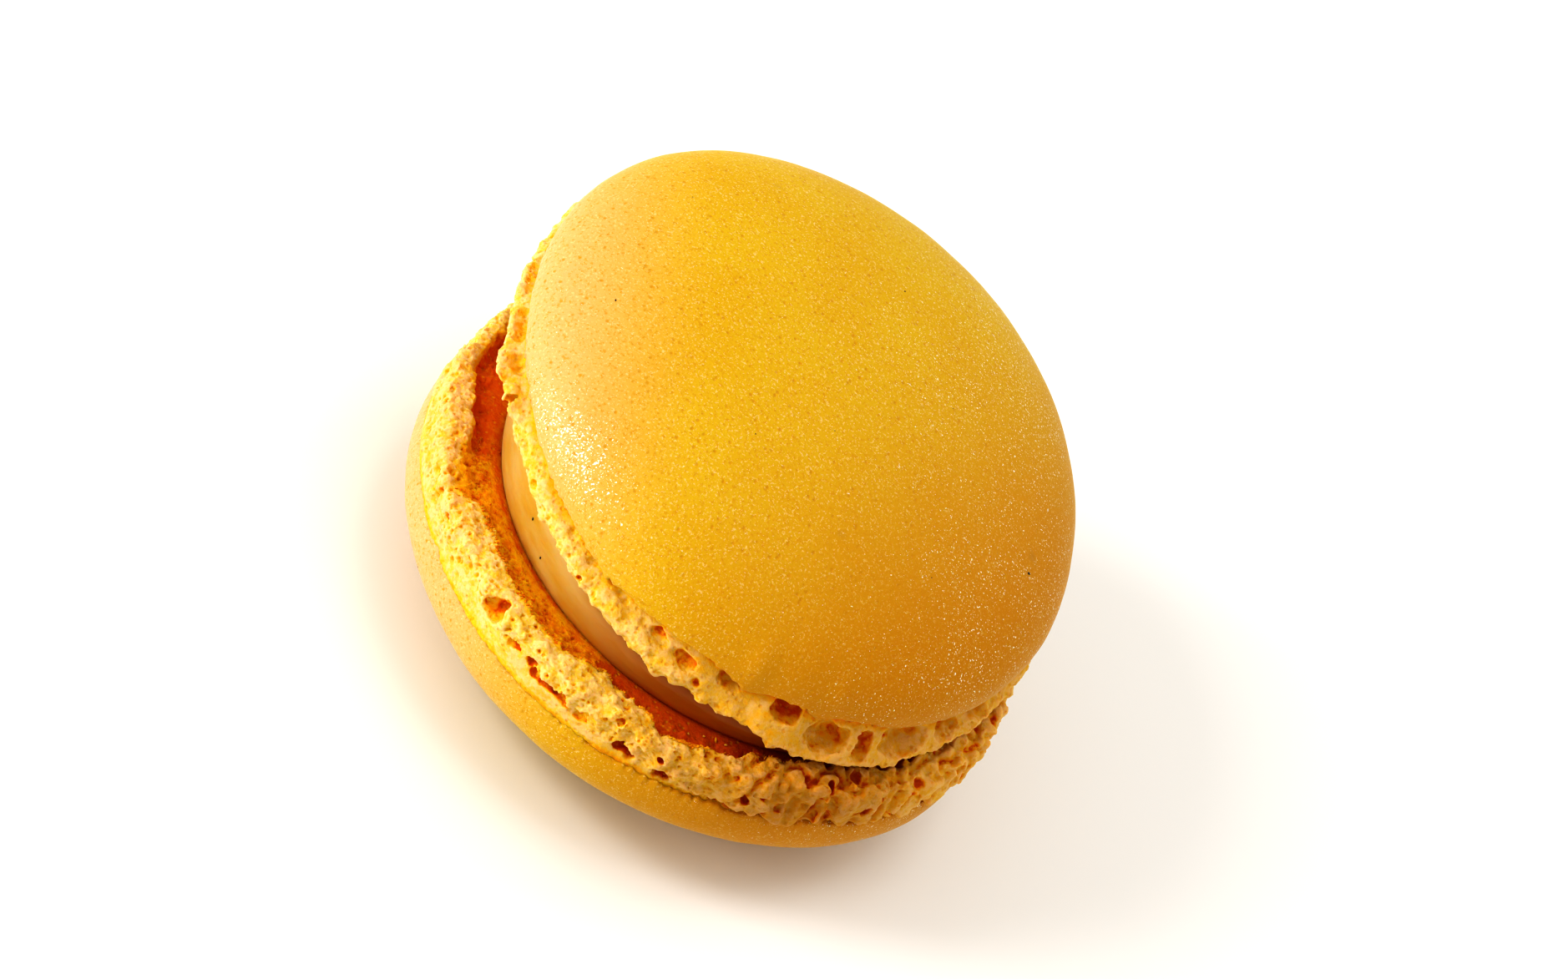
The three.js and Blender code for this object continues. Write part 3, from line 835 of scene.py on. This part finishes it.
    def toneLimits(point):
        azimuth = azimuthOf(shell, point.x, point.y)
        return paintedShadeShift(azimuth), darkest(azimuth)

    markPaintedShade(body, paintedTrenchShade, toneLimits)
    points = verticesOf(body)[0]
    # painted shadow: the crumb is painted darker by azimuth where the top shell's edge shades the foot
    layer = body.attributes.new('paintedShadow', 'FLOAT', 'POINT')
    layer.data.foreach_set('value', [paintedShadow(azimuthOf(shell, x, y)) for x, y, z in points.tolist()])
    return keepAsPiece(name, body, shell['place'], crumb, nodeName)


# how the crumb's painted shade is worked out from how enclosed each point is
paintedShadeLook = {'level': 0.36, 'enclosed': 0.8, 'sunk': 0.16, 'rays': 24, 'reach': 1.6, 'hidden': 18.3}


def markPaintedShade(mesh, extraAt, limitsAt):
    # about 0.36 on open level surface, up to 1 in hollows and the trench and less on ridges; the value picks the
    # painted shade
    points, normals = verticesOf(mesh)
    smoothed = finished(mesh.copy(), ('SMOOTH', {'factor': 0.5, 'iterations': 8}))
    evened = verticesOf(smoothed)[0]
    sunk = np.clip(((evened - points) * normals).sum(1) / 0.12, -1, 1)
    tree = BVHTree.FromPolygons(points.tolist(), [tuple(polygon.vertices) for polygon in mesh.polygons])
    goldenAngle = math.pi * (3 - math.sqrt(5))
    rays = []
    for i in range(paintedShadeLook['rays']):
        height = 1 - (2 * i + 1) / paintedShadeLook['rays']
        flat = math.sqrt(1 - height * height)
        rays.append(Vector((flat * math.cos(goldenAngle * i), flat * math.sin(goldenAngle * i), height)))
    reach = paintedShadeLook['reach']
    hollow = []
    for i, (point, normal) in enumerate(zip(map(Vector, points.tolist()), map(Vector, normals.tolist()))):
        if point.xy.length < paintedShadeLook['hidden']:
            hollow.append(0.9)
            continue
        blocked = total = 0.0
        start = point + normal * 0.04
        for ray in rays:
            facing = normal.dot(ray)
            if facing > 0.2:
                total += facing
                distance = tree.ray_cast(start, ray, reach)[3]
                if distance is not None:
                    blocked += facing * (1 - 0.5 * distance / reach)
        enclosed = blocked / max(total, 0.1)
        extra = extraAt(point)
        shift, darkest = limitsAt(point)
        value = paintedShadeLook['level'] + shift + paintedShadeLook['enclosed'] * smoothStep(0.02, 0.65, enclosed)
        value = min(value + paintedShadeLook['sunk'] * sunk[i], darkest)
        hollow.append(max(value, 0.5 + 0.5 * extra + 0.1 * sunk[i] if extra > 0 else 0.0))
    layer = mesh.attributes.new('hollow', 'FLOAT', 'POINT')
    layer.data.foreach_set('value', np.clip(hollow, 0, 1).astype(np.float32))


filling = {'x': 0.75, 'y': 0.44, 'radius': 18.9, 'edgeInset': 0.5, 'floor': 11.75, 'steps': 220, 'rows': 16}


def buildFilling():
    rows = filling['rows']
    profile = [(0, 0), (filling['radius'] * 0.5, 0)]
    for i in range(rows + 1):
        t = i / rows
        bulge = (1 - abs(2 * t - 1) ** 3)
        profile.append((filling['radius'] - filling['edgeInset'] * (1 - bulge), t))
    profile += [(filling['radius'] * 0.5, 1), (0, 1)]
    bm = spunSolid(profile, filling['steps'])
    roofPoint = topShell['place'] @ Vector((0, 0, 3.0))
    roofNormal = (tipped @ Vector((0, 0, 1, 0))).to_3d()
    for vert in bm.verts:
        x, y = vert.co.x + filling['x'], vert.co.y + filling['y']
        slope = (x - roofPoint.x) * roofNormal.x + (y - roofPoint.y) * roofNormal.y
        roof = roofPoint.z - slope / roofNormal.z
        share = vert.co.z
        z = filling['floor'] + share * (roof + 0.1 - filling['floor'])
        wobble = 0.12 * noise.noise(Vector((x * 0.25, y * 0.25, z * 0.5)) + Vector((5, 1, 2)))
        vert.co = Vector((x, y, z)) + Vector((x, y, 0)).normalized() * wobble * (4 * share * (1 - share))
    return keepAsPiece('creamFilling', meshOf(bm), Matrix.Identity(4), cream, 'filling')


bottomDomePiece = buildDome('bottomDome', bottomShell, 'bottom_shell')
bottomFootPiece = buildFoot('bottomFoot', bottomShell, bottomFoot, 'bottom_shell')
fillingPiece = buildFilling()
topDomePiece = buildDome('topDome', topShell, 'top_shell', topBumps, topRimLift)
topFootPiece = buildFoot('topFoot', topShell, topFoot, 'top_shell', topRimLift)


def landing(piece, origin, direction):
    # where a line from a point in millimetres first meets a piece, and the normal there
    found, spot, normal, index = piece.ray_cast(Vector(origin) * mm, Vector(direction))
    return (spot / mm, normal) if found else (None, None)


crumbs = {
    'seed': 5,
    'patches': (
        # azimuths, distances out from the crest's inner edge, how many, sizes, how deep a painted shade they get
        ((-95, -69), (-0.45, 0.2), 800, (0.045, 0.10), 0.74),
        ((-140, -93), (-0.35, 0.15), 320, (0.045, 0.09), 0.84),
        ((-140, -95), (-2.0, -0.3), 110, (0.04, 0.08), 0.90),
        ((-156, -140), (-2.6, -0.6), 120, (0.035, 0.08), 0.88),
        ((-69, -25), (-0.8, 0.1), 200, (0.045, 0.09), 0.74),
    ),
    'loose': ((-66.6, 19.05, 0.16), (-64.6, 19.3, 0.12), (-69.5, 19.2, 0.10), (-72.5, 19.4, 0.09)),
}


def buildCrumbs():
    rng = random.Random(crumbs['seed'])
    innerEdge = roundStops(bottomFoot['crestEdge'])
    balls, tones = [], []

    def drop(azimuth, radius, size, tone):
        angle = math.radians(azimuth)
        above = (radius * math.cos(angle), radius * math.sin(angle), 14)
        spot, normal = landing(bottomFootPiece, above, (0, 0, -1))
        if spot:
            turnMatrix = Matrix.Rotation(rng.uniform(0, 3), 4, (rng.random(), rng.random(), rng.random() + 0.1))
            halves = (size * rng.uniform(0.5, 1.0), size * rng.uniform(0.5, 1.0), size * rng.uniform(0.9, 1.7))
            balls.append((spot + normal * size * 0.6, halves, turnMatrix))
            tones.append(tone)

    for azimuths, offsets, count, sizes, tone in crumbs['patches']:
        for i in range(count):
            azimuth = rng.uniform(*azimuths)
            drop(azimuth, innerEdge(azimuth) + rng.uniform(*offsets), rng.uniform(*sizes), tone)
    for azimuth, radius, size in crumbs['loose']:
        drop(azimuth, radius, size, 0.5)
    mesh = ballsMesh(balls, finer=1)
    # the hollow value picks each crumb's painted shade colour
    layer = mesh.attributes.new('hollow', 'FLOAT', 'POINT')
    perBall = len(mesh.vertices) // len(balls)
    layer.data.foreach_set('value', np.repeat(np.array(tones, np.float32), perBall))
    return keepAsPiece('crumbs', mesh, Matrix.Identity(4), looseCrumb, None)


specks = {
    'color': (0.035, 0.018, 0.008), 'seed': 3, 'scattered': 14,
    # on the filling: azimuth, height, size; on a dome: azimuth and radius in the shell, size
    'filling': ((-128.0, 14.45, 0.13), (-120.3, 13.35, 0.11)),
    'topDome': ((-156.2, 17.4, 0.09), (97.5, 10.9, 0.085), (2.9, 17.5, 0.14), (-109.2, 9.8, 0.05),
                (-81.1, 4.6, 0.04), (163.4, 17.3, 0.05), (40.0, 8.0, 0.05), (-30.0, 14.0, 0.05)),
    'bottomDome': ((-134.4, 22.0, 0.07), (-100.0, 20.0, 0.05), (20.0, 19.0, 0.06)),
}


def buildSpecks():
    rng = random.Random(specks['seed'])
    balls = []

    def stick(piece, origin, direction, size):
        spot, normal = landing(piece, origin, direction)
        if spot:
            flat = normal.to_track_quat('Z', 'Y').to_matrix().to_4x4()
            turned = flat @ Matrix.Rotation(rng.uniform(0, math.pi), 4, 'Z')
            balls.append((spot, (size, size * rng.uniform(0.6, 0.9), size * 0.3), turned))

    marks = list(specks['filling'])
    marks += [(rng.uniform(-50, 200), rng.uniform(12.6, 14.6), rng.uniform(0.05, 0.11))
              for i in range(specks['scattered'])]
    for azimuth, height, size in marks:
        angle = math.radians(azimuth)
        out = Vector((math.cos(angle), math.sin(angle), 0))
        stick(fillingPiece, out * 30 + Vector((0, 0, height)), -out, size)
    for piece, shell, key in ((topDomePiece, topShell, 'topDome'), (bottomDomePiece, bottomShell, 'bottomDome')):
        for azimuth, radius, size in specks[key]:
            origin = shell['place'] @ inShell(shell, azimuth, radius, -20)
            stick(piece, origin, shell['place'].to_3x3() @ Vector((0, 0, 1)), size)
    material = newMaterial('vanillaSpeck', specks['color'], 0.5)[0]
    return keepAsPiece('vanillaSpecks', ballsMesh(balls), Matrix.Identity(4), material, None)


bpy.context.view_layer.update()
buildCrumbs()
buildSpecks()

# Floor, light and camera
bpy.ops.mesh.primitive_plane_add(size=6, location=(0, 0, -0.00005))
floor = bpy.context.object
floor.name = 'paleFloor'
floor.data.materials.append(newMaterial('palePaper', (0.9, 0.9, 0.9), 0.9)[0])

elevation, roll = math.radians(camera['elevation']), math.radians(camera['roll'])
back = Vector((0, -math.cos(elevation), math.sin(elevation)))
up = Vector((0, math.sin(elevation), math.cos(elevation)))
right = Vector((1, 0, 0))
imageRight = math.cos(roll) * right - math.sin(roll) * up
imageUp = math.sin(roll) * right + math.cos(roll) * up
aim = Vector(camera['aim']) * mm
cameraData = bpy.data.cameras.new('camera')
cameraData.lens = camera['lens']
cameraData.sensor_width = 36
cameraData.clip_start = 0.01
cameraObject = bpy.data.objects.new('camera', cameraData)
cameraObject.matrix_world = (Matrix.Translation(aim + back * camera['distance'] * mm)
                             @ Matrix((imageRight, imageUp, back)).transposed().to_4x4())
scene.collection.objects.link(cameraObject)
scene.camera = cameraObject

lampDistance = 0.7
lamps = (
    # name, azimuth, elevation, size, power
    ('keyLight', -151, 9, 0.15, 1.35),
    ('glareLight', -148, 36, 0.2, 1.1),
    ('topLight', 0, 85, 0.3, 0.52),
    ('rimLight', 55, 40, 0.25, 0.3),
)
for name, azimuth, height, lampSize, power in lamps:
    azimuth, height = math.radians(azimuth), math.radians(height)
    level = math.cos(height)
    direction = Vector((math.cos(azimuth) * level, math.sin(azimuth) * level, math.sin(height)))
    data = bpy.data.lights.new(name, 'AREA')
    data.size, data.energy = lampSize, power
    lamp = bpy.data.objects.new(name, data)
    lamp.location = aim + direction * lampDistance
    lamp.rotation_mode = 'QUATERNION'
    lamp.rotation_quaternion = direction.to_track_quat('Z', 'Y')
    scene.collection.objects.link(lamp)

world = bpy.data.worlds.new('studio')
world.use_nodes = True
world.node_tree.nodes['Background'].inputs['Color'].default_value = (1, 0.96, 0.89, 1)
world.node_tree.nodes['Background'].inputs['Strength'].default_value = 0.5
scene.world = world
scene.view_settings.view_transform = 'Standard'
scene.view_settings.look = 'Very High Contrast'
